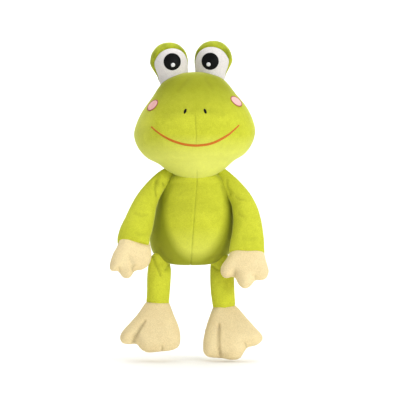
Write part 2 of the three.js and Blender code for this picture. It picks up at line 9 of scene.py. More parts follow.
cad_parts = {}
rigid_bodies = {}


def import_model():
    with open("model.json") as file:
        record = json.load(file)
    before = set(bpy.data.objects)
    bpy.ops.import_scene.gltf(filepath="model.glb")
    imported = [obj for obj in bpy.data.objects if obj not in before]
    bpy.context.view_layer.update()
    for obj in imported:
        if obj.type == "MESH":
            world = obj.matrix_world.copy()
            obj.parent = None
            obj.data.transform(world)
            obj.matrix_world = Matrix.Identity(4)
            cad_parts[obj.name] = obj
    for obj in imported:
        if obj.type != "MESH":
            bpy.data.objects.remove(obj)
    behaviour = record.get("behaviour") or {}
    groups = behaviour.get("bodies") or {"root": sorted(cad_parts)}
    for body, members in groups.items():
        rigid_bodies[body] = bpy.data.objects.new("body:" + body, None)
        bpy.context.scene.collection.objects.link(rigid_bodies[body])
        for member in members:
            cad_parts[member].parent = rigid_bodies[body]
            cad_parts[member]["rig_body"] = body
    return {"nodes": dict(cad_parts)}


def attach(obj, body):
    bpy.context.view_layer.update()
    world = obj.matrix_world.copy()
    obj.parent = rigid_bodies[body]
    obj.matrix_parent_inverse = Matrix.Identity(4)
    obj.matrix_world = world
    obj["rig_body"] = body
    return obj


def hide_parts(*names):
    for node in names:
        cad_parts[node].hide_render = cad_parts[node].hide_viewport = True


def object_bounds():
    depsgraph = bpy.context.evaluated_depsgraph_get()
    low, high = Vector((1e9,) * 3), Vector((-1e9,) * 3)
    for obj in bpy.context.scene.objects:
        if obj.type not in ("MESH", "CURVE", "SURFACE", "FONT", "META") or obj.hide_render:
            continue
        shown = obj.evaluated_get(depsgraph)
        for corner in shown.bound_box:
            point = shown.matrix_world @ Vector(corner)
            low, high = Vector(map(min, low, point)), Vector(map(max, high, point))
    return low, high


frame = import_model()
cad_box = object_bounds()

# ---------- Camera ----------
# A long lens, level with the middle of the puppet and straight in front of it.
CAMERA_AWAY = 2.5
CAMERA_FIELD = 0.505
CAMERA_ASIDE = 0.0076
CAMERA_HEIGHT = 0.0782
camera_data = bpy.data.cameras.new("camera")
camera_data.lens = camera_data.sensor_width * CAMERA_AWAY / CAMERA_FIELD
camera = bpy.data.objects.new("camera", camera_data)
camera.location = (CAMERA_ASIDE, -CAMERA_AWAY, CAMERA_HEIGHT)
camera.rotation_euler = (math.radians(90), 0, 0)
bpy.context.scene.collection.objects.link(camera)
bpy.context.scene.camera = camera
bpy.context.scene.view_settings.view_transform = "Standard"


# ---------- Floor and light ----------
# A pale sweep of card, flat under the puppet and then curving up behind it. It is lit by soft square lights,
# and it isn't part of the puppet.
MM = 0.001


def outward(bm):
    """Turns the faces of a closed skin outwards."""
    bm.normal_update()
    bmesh.ops.recalc_face_normals(bm, faces=bm.faces)
    if bm.calc_volume(signed=True) < 0:
        bmesh.ops.reverse_faces(bm, faces=bm.faces)


def finished(name, bm):
    """A piece made from a bmesh, with its normals outwards and its place in its mesh."""
    outward(bm)
    data = bpy.data.meshes.new(name)
    bm.to_mesh(data)
    bm.free()
    piece = bpy.data.objects.new(name, data)
    bpy.context.scene.collection.objects.link(piece)
    for face in data.polygons:
        face.use_smooth = True
    return piece


def plain(name, color, roughness):
    """A material with a Principled shader, its node tree and that shader."""
    material = bpy.data.materials.new(name)
    material.use_nodes = True
    shader = material.node_tree.nodes["Principled BSDF"]
    shader.inputs["Base Color"].default_value = (*color, 1)
    shader.inputs["Roughness"].default_value = roughness
    return material, material.node_tree, shader


FLOOR_HEIGHT = cad_box[0][2] - 0.5 * MM
SWEEP_RADIUS = 0.6
SWEEP_HALF_WIDTH = 4.0
FLAT_NEAR = -4.0
FLAT_FAR = 3.0
WALL_HEIGHT = 3.0
bm = bmesh.new()
near = [bm.verts.new((x, FLAT_NEAR, FLOOR_HEIGHT)) for x in (-SWEEP_HALF_WIDTH, SWEEP_HALF_WIDTH)]
edge = [bm.edges.new(near)]
out = bmesh.ops.extrude_edge_only(bm, edges=edge)
moved = [g for g in out["geom"] if isinstance(g, bmesh.types.BMVert)]
bmesh.ops.translate(bm, verts=moved, vec=(0, FLAT_FAR - FLAT_NEAR, 0))
edge = [e for e in bm.edges if all(v in moved for v in e.verts)]
centre = (0, FLAT_FAR, FLOOR_HEIGHT + SWEEP_RADIUS)
out = bmesh.ops.spin(
    bm, geom=edge + moved, axis=(1, 0, 0), cent=centre, angle=math.radians(90), steps=16, use_duplicate=False
)
moved = [g for g in out["geom_last"] if isinstance(g, bmesh.types.BMVert)]
edge = [g for g in out["geom_last"] if isinstance(g, bmesh.types.BMEdge)]
out = bmesh.ops.extrude_edge_only(bm, edges=edge)
moved = [g for g in out["geom"] if isinstance(g, bmesh.types.BMVert)]
bmesh.ops.translate(bm, verts=moved, vec=(0, 0, WALL_HEIGHT))
sweep = finished("floor_sweep", bm)
card, _, _ = plain("pale_card", (0.95, 0.95, 0.945), 0.9)
sweep.data.materials.append(card)

# A large soft window to the puppet's left and above, weaker ones opposite, low in front and overhead, two
# that keep the card white, and an even glow all round.
PUPPET_MIDDLE = (0, 0, 0.06)
LIGHTS = [
    ("window_light", (1.5, -1.7, 0.55), PUPPET_MIDDLE, 1.1, 25.5),
    ("fill_light", (-1.7, -1.6, 0.5), PUPPET_MIDDLE, 1.4, 3.6),
    ("low_light", (0.3, -2.9, 0.08), PUPPET_MIDDLE, 0.38, 8),
    ("top_light", (0.3, -0.4, 1.9), PUPPET_MIDDLE, 1.2, 4.5),
    ("floor_light", (0, 0.5, 1.8), (0, 0.6, 0.6), 2.2, 36),
    ("backdrop_light", (0, 2.2, 2.0), (0, 3.4, 0.3), 3.0, 60),
]
for name, place, target, size, power in LIGHTS:
    lamp = bpy.data.lights.new(name, "AREA")
    lamp.shape = "SQUARE"
    lamp.size = size
    lamp.energy = power
    light = bpy.data.objects.new(name, lamp)
    light.location = place
    light.rotation_euler = (Vector(target) - Vector(place)).to_track_quat("-Z", "Y").to_euler()
    bpy.context.scene.collection.objects.link(light)
EVEN_GLOW = 0.3
world = bpy.data.worlds.new("even_glow")
world.use_nodes = True
world.node_tree.nodes["Background"].inputs["Color"].default_value = (1, 1, 1, 1)
looked_at = world.node_tree.nodes.new("ShaderNodeLightPath").outputs["Is Camera Ray"]
glow = world.node_tree.nodes.new("ShaderNodeMapRange")
world.node_tree.links.new(looked_at, glow.inputs["Value"])
glow.inputs["To Min"].default_value = EVEN_GLOW
glow.inputs["To Max"].default_value = 1.0
world.node_tree.links.new(glow.outputs["Result"], world.node_tree.nodes["Background"].inputs["Strength"])
bpy.context.scene.world = world


# ---------- Plush ----------
# The whole skin is short-pile plush. Its pile lies in soft patches, and a painted highlight makes it paler
# along the edges.
def noise(tree, scale, detail, roughness, place):
    node = tree.nodes.new("ShaderNodeTexNoise")
    node.inputs["Scale"].default_value = scale
    node.inputs["Detail"].default_value = detail
    node.inputs["Roughness"].default_value = roughness
    tree.links.new(place, node.inputs["Vector"])
    return node.outputs["Fac"]


def fed(tree, sockets, values):
    """Gives a node's inputs other nodes' outputs, numbers or colours."""
    for socket, value in zip(sockets, values):
        if isinstance(value, bpy.types.NodeSocket):
            tree.links.new(value, socket)
        else:
            socket.default_value = (*value, 1) if isinstance(value, tuple) else value


def calculated(tree, operation, *values):
    node = tree.nodes.new("ShaderNodeMath")
    node.operation = operation
    fed(tree, node.inputs, values)
    return node.outputs[0]


def ranged(tree, value, low, high, to_low, to_high):
    node = tree.nodes.new("ShaderNodeMapRange")
    fed(tree, node.inputs, (value, low, high, to_low, to_high))
    return node.outputs["Result"]


def mixed(tree, amount, a, b):
    node = tree.nodes.new("ShaderNodeMix")
    node.data_type = "RGBA"
    fed(tree, (node.inputs[0], node.inputs[6], node.inputs[7]), (amount, a, b))
    return node.outputs[2]


def new_group(name, inputs, outputs):
    group = bpy.data.node_groups.new(name, "ShaderNodeTree")
    for kind, label, value in inputs:
        socket = group.interface.new_socket(label, in_out="INPUT", socket_type=kind)
        socket.default_value = value
    for kind, label in outputs:
        group.interface.new_socket(label, in_out="OUTPUT", socket_type=kind)
    return group, group.nodes.new("NodeGroupInput"), group.nodes.new("NodeGroupOutput")


pile, pile_in, pile_out = new_group(
    "short_pile",
    [
        ("NodeSocketColor", "Colour", (0.5, 0.5, 0.5, 1)),
        ("NodeSocketColor", "Brushed Colour", (0.4, 0.4, 0.4, 1)),
        ("NodeSocketFloat", "Patch Contrast", 1.0),
        ("NodeSocketFloat", "Tuft Scale", 900.0),
    ],
    [("NodeSocketColor", "Colour"), ("NodeSocketFloat", "Roughness"), ("NodeSocketFloat", "Height")],
)
where = pile.nodes.new("ShaderNodeTexCoord").outputs["Object"]
brushed = noise(pile, 38, 3, 0.55, where)
rubbed = noise(pile, 150, 3, 0.6, where)
tufts = noise(pile, 900, 2, 0.6, where)
pile.links.new(pile_in.outputs["Tuft Scale"], tufts.node.inputs["Scale"])
broad = calculated(pile, "MULTIPLY", brushed, 0.65)
narrow = calculated(pile, "MULTIPLY", rubbed, 0.35)
patches = ranged(pile, calculated(pile, "ADD", broad, narrow), 0.38, 0.62, 0, 1)
patches = calculated(pile, "MULTIPLY", patches, pile_in.outputs["Patch Contrast"])
base = mixed(pile, patches, pile_in.outputs["Colour"], pile_in.outputs["Brushed Colour"])
speckle = ranged(pile, tufts, 0.25, 0.75, 0.84, 1.14)
tone = pile.nodes.new("ShaderNodeHueSaturation")
pile.links.new(speckle, tone.inputs["Value"])
pile.links.new(base, tone.inputs["Color"])
pile.links.new(tone.outputs["Color"], pile_out.inputs["Colour"])
pile.links.new(ranged(pile, tufts, 0.3, 0.7, 0.95, 0.78), pile_out.inputs["Roughness"])
raised = calculated(pile, "MULTIPLY", tufts, 0.55)
matted = calculated(pile, "MULTIPLY", rubbed, 0.9)
pile.links.new(calculated(pile, "ADD", raised, matted), pile_out.inputs["Height"])


def plush(name, colours, contrast=0.55, tuft_scale=900, relief=1.1 * MM, sheen=0.35, laid=(), oval=None):
    """A plush finish. Its colours are the pile's, the pile's where it is brushed the other way, and that of
    the painted highlight along its edges. laid holds colours of painted light and shade, each with
    stretches of Object coordinates (axis, start, full, most), and oval a colour of painted shade for the
    front outside an oval."""
    colour, brushed_colour, edge_highlight_colour = colours
    material, tree, shader = plain(name, colour, 0.85)
    group = tree.nodes.new("ShaderNodeGroup")
    group.node_tree = pile
    group.inputs["Colour"].default_value = (*colour, 1)
    group.inputs["Brushed Colour"].default_value = (*brushed_colour, 1)
    group.inputs["Patch Contrast"].default_value = contrast
    group.inputs["Tuft Scale"].default_value = tuft_scale
    # Painted highlight: where the surface is seen edge-on, its colour turns to the edge highlight colour.
    facing = tree.nodes.new("ShaderNodeLayerWeight")
    facing.inputs["Blend"].default_value = 0.25
    rim = ranged(tree, facing.outputs["Facing"], 0.35, 1.0, 0, 0.75)
    surface = group.outputs["Colour"]
    place = tree.nodes.new("ShaderNodeSeparateXYZ")
    tree.links.new(tree.nodes.new("ShaderNodeTexCoord").outputs["Object"], place.inputs[0])
    # Painted light and shade: each colour is mixed in over its stretches of Object coordinates.
    for other, stretches in laid:
        share = 0
        for axis, start, full, most in stretches:
            stretch = ranged(tree, place.outputs[axis], start, full, 0, most)
            share = calculated(tree, "MAXIMUM", share, stretch)
        surface = mixed(tree, share, surface, other)
    # Painted shade: the front is mixed towards a deeper colour outside an oval.
    if oval:
        other, middle, halves, most = oval
        squares = []
        for i, axis in enumerate((0, 2)):
            away = calculated(tree, "SUBTRACT", place.outputs[axis], middle[i])
            squares.append(calculated(tree, "POWER", calculated(tree, "DIVIDE", away, halves[i]), 2))
        reach = calculated(tree, "SQRT", calculated(tree, "ADD", *squares))
        outside = ranged(tree, reach, 0.88, 1.12, 0, most)
        in_front = ranged(tree, place.outputs["Y"], 4 * MM, -4 * MM, 0.35, 1)
        surface = mixed(tree, calculated(tree, "MULTIPLY", outside, in_front), surface, other)
    surface = mixed(tree, rim, surface, edge_highlight_colour)
    # Painted shade: the fold attribute darkens the colour in seams and creases.
    fold = tree.nodes.new("ShaderNodeAttribute")
    fold.attribute_name = "fold"
    shadow = ranged(tree, fold.outputs["Fac"], 0, 1, 1, 0.45)
    dark = tree.nodes.new("ShaderNodeHueSaturation")
    tree.links.new(shadow, dark.inputs["Value"])
    tree.links.new(surface, dark.inputs["Color"])
    tree.links.new(dark.outputs["Color"], shader.inputs["Base Color"])
    tree.links.new(group.outputs["Roughness"], shader.inputs["Roughness"])
    bump = tree.nodes.new("ShaderNodeBump")
    bump.inputs["Strength"].default_value = 0.55
    bump.inputs["Distance"].default_value = relief
    tree.links.new(group.outputs["Height"], bump.inputs["Height"])
    tree.links.new(bump.outputs["Normal"], shader.inputs["Normal"])
    shader.inputs["Specular IOR Level"].default_value = 0.2
    shader.inputs["Sheen Weight"].default_value = sheen
    shader.inputs["Sheen Roughness"].default_value = 0.45
    shader.inputs["Sheen Tint"].default_value = (*edge_highlight_colour, 1)
    return material


LIME = (0.575, 0.60, 0.037)
BRUSHED_LIME = (0.465, 0.49, 0.024)
# Painted shade and painted light: a deeper and a paler lime, mixed into the plush where it is shaded or lit.
SHADED_LIME = (0.235, 0.255, 0.006)
LIT_LIME = (0.76, 0.78, 0.20)
LIME_EDGE_HIGHLIGHT = (0.66, 0.70, 0.20)
LIMES = (LIME, BRUSHED_LIME, LIME_EDGE_HIGHLIGHT)
lime_plush = plush("lime_plush", LIMES)


# ---------- Thread and lining ----------
# Sewing thread and satin embroidery run in fine parallel strands. The lining is a plain woven cloth whose
# threads are finer still.
strands, strands_in, strands_out = new_group(
    "thread_strands",
    [
        ("NodeSocketColor", "Colour", (0.5, 0.5, 0.5, 1)),
        ("NodeSocketFloat", "Strands Per Metre", 1400.0),
        ("NodeSocketFloat", "Slant", 0.4),
    ],
    [("NodeSocketColor", "Colour"), ("NodeSocketFloat", "Roughness"), ("NodeSocketFloat", "Height")],
)
where = strands.nodes.new("ShaderNodeTexCoord").outputs["Object"]
split = strands.nodes.new("ShaderNodeSeparateXYZ")
strands.links.new(where, split.inputs[0])
rise = calculated(strands, "MULTIPLY", split.outputs["Z"], strands_in.outputs["Slant"])
slanted = calculated(strands, "ADD", split.outputs["X"], rise)
wander = calculated(strands, "MULTIPLY", noise(strands, 300, 2, 0.5, where), 0.0006)
across_strands = calculated(strands, "ADD", slanted, wander)
turns = calculated(strands, "MULTIPLY", across_strands, strands_in.outputs["Strands Per Metre"])
ridges = calculated(strands, "PINGPONG", turns, 0.5)
shade = ranged(strands, ridges, 0, 0.5, 0.72, 1.12)
tone = strands.nodes.new("ShaderNodeHueSaturation")
strands.links.new(shade, tone.inputs["Value"])
strands.links.new(strands_in.outputs["Colour"], tone.inputs["Color"])
strands.links.new(tone.outputs["Color"], strands_out.inputs["Colour"])
strands.links.new(ranged(strands, ridges, 0, 0.5, 0.6, 0.38), strands_out.inputs["Roughness"])
strands.links.new(ridges, strands_out.inputs["Height"])


def stitched(name, colour, per_metre=1400, slant=0.4, relief=0.3 * MM, shine=0.3):
    """A finish of threads lying side by side."""
    material, tree, shader = plain(name, colour, 0.5)
    group = tree.nodes.new("ShaderNodeGroup")
    group.node_tree = strands
    group.inputs["Colour"].default_value = (*colour, 1)
    group.inputs["Strands Per Metre"].default_value = per_metre
    group.inputs["Slant"].default_value = slant
    tree.links.new(group.outputs["Colour"], shader.inputs["Base Color"])
    tree.links.new(group.outputs["Roughness"], shader.inputs["Roughness"])
    bump = tree.nodes.new("ShaderNodeBump")
    bump.inputs["Strength"].default_value = 0.5
    bump.inputs["Distance"].default_value = relief
    tree.links.new(group.outputs["Height"], bump.inputs["Height"])
    tree.links.new(bump.outputs["Normal"], shader.inputs["Normal"])
    shader.inputs["Specular IOR Level"].default_value = shine
    return material


green_thread = stitched("green_thread", (0.30, 0.37, 0.03), 1800, 0.9)
lining_cloth = stitched("lining_cloth", (0.40, 0.47, 0.06), 2600, 0.0, 0.1 * MM)


# ---------- Body ----------
# A pear-shaped plush body, sewn from two front panels and a back, stuffed round a glove pocket. Its top is a
# soft ball that the head sits on. Its underside is open, and the pocket's lining ends there in a bound hem.
def splined(points, steps):
    """Points on a smooth curve through the given ones, steps for each span."""
    points = [Vector(p) for p in points]
    padded = [points[0]] + points + [points[-1]]
    curve = []
    for a, b, c, d in zip(padded, padded[1:], padded[2:], padded[3:]):
        for i in range(steps):
            t = i / steps
            bend = (a * 2 - b * 5 + c * 4 - d) * (t * t / 2) + (b * 3 - a - c * 3 + d) * (t**3 / 2)
            curve.append(b + (c - a) * (t / 2) + bend)
    return curve + [points[-1]]


def turned(outline, sides, place, closed=False):
    """A profile of [half width, height] spun about Z, then moulded by place(x, y, z)."""
    bm = bmesh.new()
    profile = [bm.verts.new((max(r, 0), 0, z)) for r, z in outline]
    for pair in zip(profile, profile[1:] + profile[:1] if closed else profile[1:]):
        bm.edges.new(pair)
    bmesh.ops.spin(
        bm,
        geom=bm.verts[:] + bm.edges[:],
        axis=(0, 0, 1),
        cent=(0, 0, 0),
        angle=math.tau,
        steps=sides,
        use_merge=True,
        use_duplicate=False,
    )
    bmesh.ops.remove_doubles(bm, verts=bm.verts, dist=1e-7)
    for v in bm.verts:
        v.co = place(*v.co)
    outward(bm)
    return bm


def smooth(value, low, high):
    t = min(max((value - low) / (high - low), 0), 1)
    return t * t * (3 - 2 * t)


# Painted shade: how dark the fold attribute makes the cloth in seams and creases.
FOLD_SHADE = 0.3


def seam(bm, at, across, depth, width, share=lambda co: 1):
    """A sewn seam along a plane: loops are cut beside it, and the cloth dips to it where share(co) says. The
    dip's colour is darkened through the fold attribute, as painted shade.
    """
    at, across = Vector(at), Vector(across).normalized()
    for offset in (-2.2, -1.2, -0.5, 0, 0.5, 1.2, 2.2):
        whole = bm.verts[:] + bm.edges[:] + bm.faces[:]
        beside = at + across * (offset * width)
        bmesh.ops.bisect_plane(bm, geom=whole, dist=1e-7, plane_co=beside, plane_no=across)
    bm.normal_update()
    fold = bm.verts.layers.float.get("fold") or bm.verts.layers.float.new("fold")
    for v in bm.verts:
        away = (v.co - at).dot(across) / width
        amount = math.exp(-away * away) * share(v.co)
        v.co -= v.normal * (depth * amount)
        v[fold] = max(v[fold], FOLD_SHADE * amount)


def seen(co):
    """Where the camera sees a point, as [x, z] on the upright plane through the middle."""
    eye = camera.location
    return (eye + (co - eye) * (eye.y / (eye.y - co.y))).xz


def at_depth(x, y, z):
    """The point at a depth y that the camera sees at [x, z]."""
    eye = camera.location
    near = 1 - y / eye.y
    return Vector((eye.x + (x - eye.x) * near, y, eye.z + (z - eye.z) * near))


def crease(bm, path, depth, width):
    """A fold pressed into the cloth along a path of [x, z] seen from the front, in millimetres. A negative
    depth is a ridge. Where a fold faces the front, its colour is darkened as painted shade."""
    line = [Vector(p) * MM for p in path]
    depth, width = depth * MM, width * MM
    spans = list(zip(line, line[1:]))
    fold = bm.verts.layers.float.get("fold") or bm.verts.layers.float.new("fold")
    bm.normal_update()
    for v in bm.verts:
        flat = seen(v.co)
        away = 1.0
        for a, b in spans:
            t = min(max((flat - a).dot(b - a) / (b - a).length_squared, 0), 1)
            away = min(away, (flat - a.lerp(b, t)).length)
        if away < 3 * width:
            front = smooth(-v.normal.y, -0.1, 0.4)
            v.co -= v.normal * (depth * math.exp(-((away / width) ** 2)) * front)
            shadow = min(depth / MM, 2) * FOLD_SHADE * math.exp(-((2 * away / width) ** 2)) * front
            v[fold] = max(v[fold], shadow)


def settled(piece, modifier):
    """Makes a modifier's result the piece's own mesh."""
    depsgraph = bpy.context.evaluated_depsgraph_get()
    data = bpy.data.meshes.new_from_object(piece.evaluated_get(depsgraph))
    piece.modifiers.remove(modifier)
    piece.data = data
    return piece


def carved(piece, tool):
    """Cuts another solid out of a piece, and removes it."""
    cut = piece.modifiers.new("cut", "BOOLEAN")
    cut.operation = "DIFFERENCE"
    cut.solver = "EXACT"
    cut.object = tool
    settled(piece, cut)
    bpy.data.objects.remove(tool)


def sewn_on(piece, material, slot, nodes):
    """Gives a piece its finish, the body that it moves with, and the CAD nodes that it stands for."""
    piece.data.materials.clear()
    piece.data.materials.append(material)
    for face in piece.data.polygons:
        face.material_index = 0
        face.use_smooth = True
    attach(piece, frame["nodes"][nodes[0]]["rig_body"])
    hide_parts(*nodes)
    return piece


NECK_PIVOT = Vector((3, 0, 92)) * MM
NECK_BALL = 28 * MM
BODY_FOOT = -4 * MM
BODY_DEPTH = 0.86
CHEST_FLAT = 0.22
BELLY_DROOP = 6.5 * MM
BACK_SLOPE = 5 * MM
OPENING_Y = 8 * MM
OPENING_HALF_DEPTH = 25 * MM
OPENING_HALF_WIDTH = 35 * MM


def body_middle(z):
    """Where the body's middle line runs, which leans a little."""
    return BODY_FOOT + (NECK_PIVOT.x - BODY_FOOT) * min(z / NECK_PIVOT.z, 1)


def body_place(x, y, z):
    depth = BODY_DEPTH + (1 - BODY_DEPTH) * smooth(z, 72 * MM, 98 * MM)
    if y < 0:
        depth *= 1 - CHEST_FLAT * smooth(z, 58 * MM, 84 * MM) * (1 - smooth(z, 98 * MM, 109 * MM))
    droop = BELLY_DROOP * smooth(-y, 8 * MM, 36 * MM) * (1 - smooth(z, 3 * MM, 36 * MM))
    droop += BACK_SLOPE * smooth(y, 12 * MM, 34 * MM) * smooth(z, 84 * MM, 106 * MM)
    return x + body_middle(z), y * depth, z - droop


def pocket_place(x, y, z):
    depth = OPENING_HALF_DEPTH / OPENING_HALF_WIDTH
    depth += (1 - depth) * smooth(z, 50 * MM, 100 * MM)
    return x + body_middle(z), y * depth + OPENING_Y * (1 - smooth(z, 20 * MM, 95 * MM)), z


body_outline = [
    (0, 3.4), (24, 2.8), (37, 3.4), (44.5, 7), (50, 14), (53.8, 25), (54.3, 34), (53.2, 45), (51, 59),
    (48.4, 76), (46.4, 86), (42.6, 96), (37, 104), (29.5, 110), (22, 113.6), (16.4, 114.8), (8, 115),
    (0, 115),
]
body_outline = splined([(r * MM, z * MM) for r, z in body_outline], 5)
bm = turned(body_outline, 96, body_place)
across_body = (1, 0, -(NECK_PIVOT.x - BODY_FOOT) / NECK_PIVOT.z)
seam(bm, (BODY_FOOT, 0, 0), across_body, 0.7 * MM, 0.8 * MM, lambda co: smooth(-co.y, 0, 12 * MM))
seam(bm, (0, 1 * MM, 0), (0, 1, 0), 0.8 * MM, 1.0 * MM, lambda co: smooth(95 * MM - co.z, 0, 10 * MM))
for path, depth, width in [
    ([(-30, 97), (-34, 88), (-37, 76)], 0.9, 3.5),
    ([(36, 96), (39, 86), (42, 74)], 0.9, 3.5),
    ([(-44, 16), (-38, 6), (-30, 1)], 1.1, 3.5),
    ([(14, 3), (24, 6), (36, 10)], 0.8, 4),
    ([(-20, 84), (-12, 90), (-3, 92)], 0.5, 3),
]:
    crease(bm, path, depth, width)
torso = finished("torso_cover", bm)

pocket_outline = [(35, 0), (37, 20), (37, 42), (33.3, 62), (25.2, 82), (17, 98), (15.5, 108), (15.5, 113)]
pocket_outline = splined([(r * MM, z * MM) for r, z in pocket_outline], 3)
BELOW_BODY = -20 * MM
ABOVE_BODY = 130 * MM
hollow = [(0, BELOW_BODY), (pocket_outline[0][0], BELOW_BODY)] + [tuple(p) for p in pocket_outline]
hollow += [(15.5 * MM, ABOVE_BODY), (0, ABOVE_BODY)]
hollow = [(r + 0.3 * MM if r else 0, z) for r, z in hollow]
carved(torso, finished("hollow", turned(hollow, 48, pocket_place)))
# Painted shade and painted light on the body: its front is deeper outside an oval, as the shade beside the
# arms, and paler low on the belly, as light.
BELLY_SIDE_SHADE = (SHADED_LIME, (2 * MM, 70 * MM), (38 * MM, 63 * MM), 0.88)
BELLY_LIT = [(2, 46 * MM, 12 * MM, 0.3)]
body_plush = plush("body_plush", LIMES, laid=[(LIT_LIME, BELLY_LIT)], oval=BELLY_SIDE_SHADE)
body_nodes = ["torso_front_left", "torso_front_right", "torso_back_panel", "torso_filling"]
body_nodes.append("belly_seam_thread")
sewn_on(torso, body_plush, "lime_plush", body_nodes)

LINING = 1.0 * MM
sleeve = [tuple(p) for p in pocket_outline] + [(r - LINING, z) for r, z in reversed(pocket_outline)]
lining = finished("hand_pocket", turned(sleeve, 64, pocket_place, closed=True))
sewn_on(lining, lining_cloth, "lining_cloth", ["hand_pocket_lining"])

# The hem is a folded binding, a little puckered by its stitches.
HEM_RADIUS = 1.7 * MM
hem_section = []
for i in range(12):
    angle = math.tau * i / 12
    across = OPENING_HALF_WIDTH + 1.5 * MM + HEM_RADIUS * 1.15 * math.cos(angle)
    hem_section.append((across, 1.75 * MM + HEM_RADIUS * math.sin(angle)))


def hem_place(x, y, z):
    around = math.atan2(y, x)
    pucker = 1 + 0.004 * math.sin(46 * around)
    depth = (OPENING_HALF_DEPTH + 1.5 * MM) / (OPENING_HALF_WIDTH + 1.5 * MM)
    return x * pucker + BODY_FOOT, y * depth * pucker + OPENING_Y, z


hem = finished("hem_binding", turned(hem_section, 184, hem_place, closed=True))
sewn_on(hem, green_thread, "green_thread", ["opening_hem"])


# ---------- Neck ----------
# Two thin bands, one of lining cloth and one of stitching, are sewn in at the neck. One lies in the other,
# between the neck's ball and the hollow under the head.
BAND_THICKNESS = 0.7 * MM


def band(name, radius, start, end):
    """A strip of a ball's skin between two angles from its top."""
    steps = 10
    angles = [math.radians(start + (end - start) * i / steps) for i in range(steps + 1)]
    inside = radius - BAND_THICKNESS
    outer = [(radius * math.sin(a), radius * math.cos(a)) for a in angles]
    inner = [(inside * math.sin(a), inside * math.cos(a)) for a in reversed(angles)]
    bm = turned(outer + inner, 64, lambda x, y, z: NECK_PIVOT + Vector((x, y, z)), closed=True)
    return finished(name, bm)


sleeve_band = band("neck_sleeve_band", NECK_BALL + 1.5 * MM, 38, 50)
sewn_on(sleeve_band, lining_cloth, "lining_cloth", ["neck_lining"])
seam_band = band("neck_seam_band", NECK_BALL + 3.0 * MM, 40, 47)
sewn_on(seam_band, green_thread, "green_thread", ["neck_stitching"])


# ---------- Head ----------
# The big soft head is two plush panels joined round the side, with a dart down the middle of the face. It is
# stuffed full. A hollow underneath takes the neck, and a sleeve for the fingers runs up from it.
JAW = 76.7 * MM
HEAD_FRONT = 0.84
HEAD_BACK = 0.74
CHIN = -16 * MM
CHIN_DROOP = 2.4 * MM
CHIN_HALF_WIDTH = 26 * MM
HEAD_TURN = Matrix.Rotation(math.radians(-2.3), 4, "Y") @ Matrix.Rotation(math.radians(2), 4, "Z")
HEAD_PLACE = Matrix.Translation(NECK_PIVOT) @ HEAD_TURN


def head_place(x, y, z):
    depth = HEAD_FRONT if y < 0 else HEAD_BACK
    ahead = CHIN * (1 - smooth(z, 11 * MM, 56 * MM))
    aside = (0.7 + 1.2 * smooth(z, 70 * MM, 110 * MM)) * MM
    droop = CHIN_DROOP * math.exp(-((x / CHIN_HALF_WIDTH) ** 2)) * smooth(-y, 0, 20 * MM)
    droop *= 1 - smooth(z, 14 * MM, 40 * MM)
    return HEAD_PLACE @ Vector((x + aside, y * depth + ahead, z - droop))


head_outline = [
    (0, 11), (0.18, 12.6), (0.43, 22), (0.62, 33.5), (0.8, 41.5), (0.935, 54), (1, 70), (0.955, 86),
    (0.85, 102), (0.68, 119), (0.58, 130), (0.45, 139.5), (0.24, 146), (0, 148),
]
head_outline = splined([(share * JAW, z * MM) for share, z in head_outline], 6)
bm = turned(head_outline, 112, head_place)
head_up = HEAD_TURN @ Vector((0, 0, 1))
head_across = HEAD_TURN @ Vector((1, 0, 0))
head_back = HEAD_TURN @ Vector((0, 1, 0))


def dart_share(co):
    height = (co - NECK_PIVOT).dot(head_up)
    front = smooth(-(co - NECK_PIVOT).dot(head_back), 0, 10 * MM)
    nose = smooth(height, 53 * MM, 57 * MM) * smooth(95 * MM - height, 0, 8 * MM)
    chin = smooth(height, 12 * MM, 15 * MM) * smooth(25 * MM - height, 0, 5 * MM)
    return front * (nose + chin)


seam(bm, NECK_PIVOT, head_across, 0.6 * MM, 0.8 * MM, dart_share)
seam(bm, NECK_PIVOT + head_back * (6 * MM), head_back, 0.9 * MM, 1.0 * MM)
for path, depth, width in [
    ([(-36, 186), (-20, 190), (0, 191), (20, 191), (36, 188)], 0.6, 9),
    ([(-20, 216), (-12, 226), (-6, 232)], 0.6, 4),
    ([(14, 232), (18, 226), (24, 218)], 0.6, 4),
]:
    crease(bm, path, depth, width)
head_skin = BVHTree.FromBMesh(bm)
head = finished("head_cover", bm)
SOCKET = 31.4 * MM
FINGERS = 15.5 * MM
FINGER_ROOM = FINGERS + 0.3 * MM
steps = 16
angles = [math.radians(-80 + 140 * i / steps) for i in range(steps + 1)]
socket_outline = [(0, -SOCKET)] + [(SOCKET * math.cos(a), SOCKET * math.sin(a)) for a in angles]
socket_outline += [(FINGER_ROOM, 30 * MM), (FINGER_ROOM, 58 * MM), (12.6 * MM, 69 * MM), (0, 74.3 * MM)]
socket = finished("socket", turned(socket_outline, 64, lambda x, y, z: HEAD_PLACE @ Vector((x, y, z))))
carved(head, socket)
head_nodes = ["face_panel", "head_back_panel", "head_filling", "face_seam_upper", "face_seam_chin"]
# Painted shade and painted light on the head: deeper over the brow, as shade, and paler low on the jaw and
# towards its right side, as light.
BROW_PAINTED_SHADE = [(2, 176 * MM, 222 * MM, 0.82)]
JAW_LIT = [(2, 160 * MM, 130 * MM, 0.55), (0, -46 * MM, -72 * MM, 0.35)]
head_plush = plush("head_plush", LIMES, 0.75, laid=[(SHADED_LIME, BROW_PAINTED_SHADE), (LIT_LIME, JAW_LIT)])
sewn_on(head, head_plush, "lime_plush", head_nodes)

finger_outline = splined([(FINGERS, 28.5 * MM), (FINGERS, 56 * MM), (12.4 * MM, 68 * MM), (0, 74 * MM)], 4)
finger_sleeve = [tuple(p) for p in finger_outline] + [
    (max(r - LINING, 0), z - (LINING if r < FINGERS * 0.9 else 0)) for r, z in reversed(finger_outline)
]
bm = turned(finger_sleeve, 48, lambda x, y, z: HEAD_PLACE @ Vector((x, y, z)), closed=True)
sewn_on(finished("finger_pocket", bm), lining_cloth, "lining_cloth", ["head_finger_pocket"])


